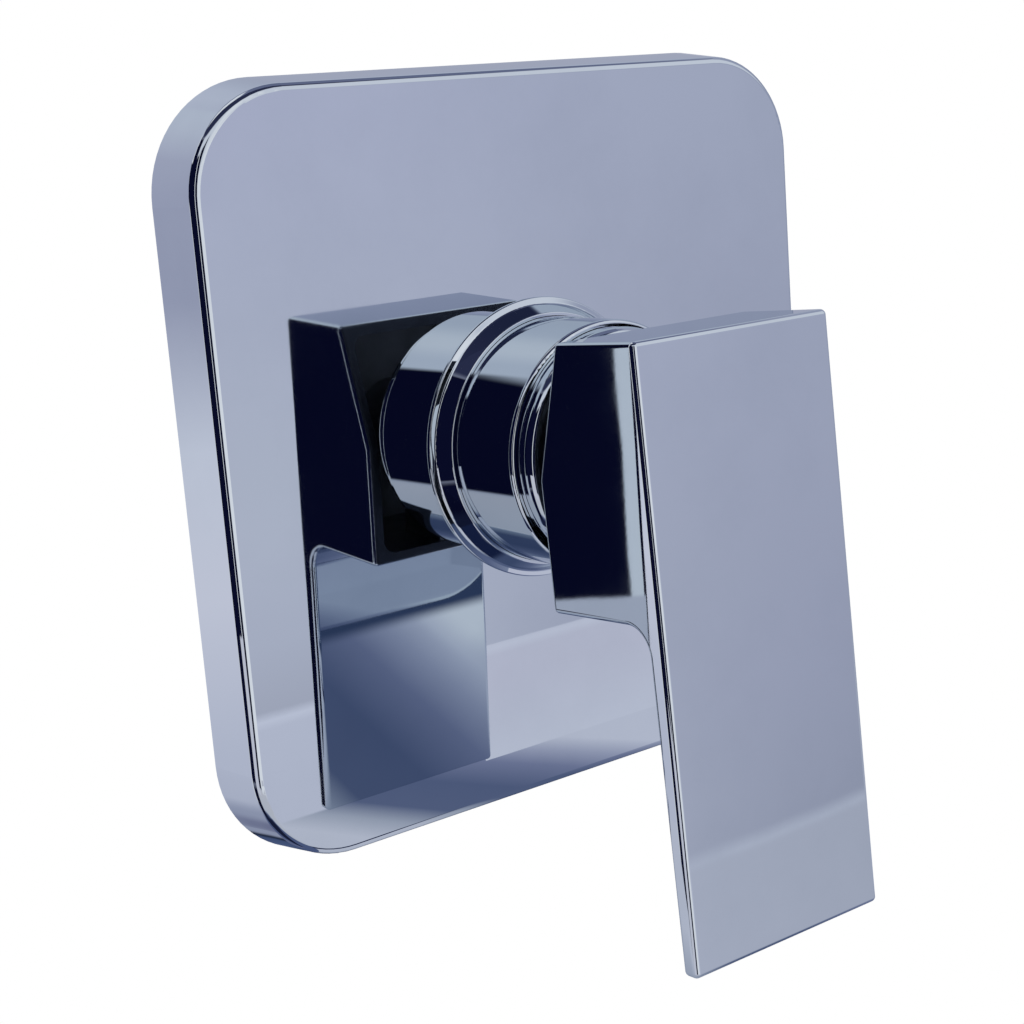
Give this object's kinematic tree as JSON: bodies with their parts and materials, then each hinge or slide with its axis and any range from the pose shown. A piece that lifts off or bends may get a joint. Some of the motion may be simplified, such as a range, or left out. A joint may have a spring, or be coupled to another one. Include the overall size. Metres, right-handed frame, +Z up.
{
  "type": "concealed shower mixer",
  "caption": "Wall-mounted single-lever shower mixer: square rounded chrome plate, round sleeve, block handle with flat lever, and a brass valve body behind the wall.",
  "frame": {"origin": "centre of the four fixing holes, on the back face of the valve body; the valve axis passes through it", "axes": "+Z up, +Y into the wall along the valve axis, +X to the user's right; the user stands on the -Y side and the finished wall lies at y = -50 mm"},
  "size_m": [0.15, 0.1268, 0.1645],
  "materials": {
    "chrome": "polished",
    "cast_brass": "as cast, machined faces",
    "machined_brass": "turned",
    "steel": "ground",
    "rubber": "matt",
    "foam": "closed-cell foam",
    "white_plastic": "moulded",
    "grey_plastic": "moulded",
    "red_plastic": "moulded",
    "ceramic": "lapped alumina",
    "index_plastic": "half red, half blue"
  },
  "bodies": {
    "valve": {"valve_body": "cast_brass", "base_seals": "rubber", "cartridge_base": "grey_plastic", "disc_seals": "rubber", "fixed_disc": "ceramic", "cartridge_housing": "white_plastic", "limit_ring": "red_plastic", "cartridge_nut": "machined_brass", "sleeve_o_rings": "rubber", "sleeve": "chrome", "dome_cap": "chrome", "grip_ring": "rubber", "plate_gasket": "foam", "cover_plate": "chrome", "trim_ring": "chrome"},
    "rotor": {"stem_guide": "grey_plastic", "pivot_pin": "steel"},
    "slider": {"disc_carrier": "white_plastic", "moving_disc": "ceramic"},
    "lever": {"stem": "machined_brass", "handle": "chrome", "grub_screw": "steel", "index_plug": "index_plastic"}
  },
  "joints": [
    {"name": "temperature_turn", "type": "hinge", "parent": "valve", "child": "rotor", "pos_m": [0, -0.0645, 0], "axis": [0, 1, 0], "range_deg": [-45, 45]},
    {"name": "lever_lift", "type": "hinge", "parent": "rotor", "child": "lever", "pos_m": [0, -0.0645, 0], "axis": [-1, 0, 0], "range_deg": [0, 18]},
    {"name": "disc_slide", "type": "slide", "parent": "rotor", "child": "slider", "axis": [0, 0, -1], "range_m": [0, 0.0036]}
  ],
  "couplings": [
    {"joint": "disc_slide", "follows": "lever_lift", "m_per_rad": 0.0113}
  ]
}
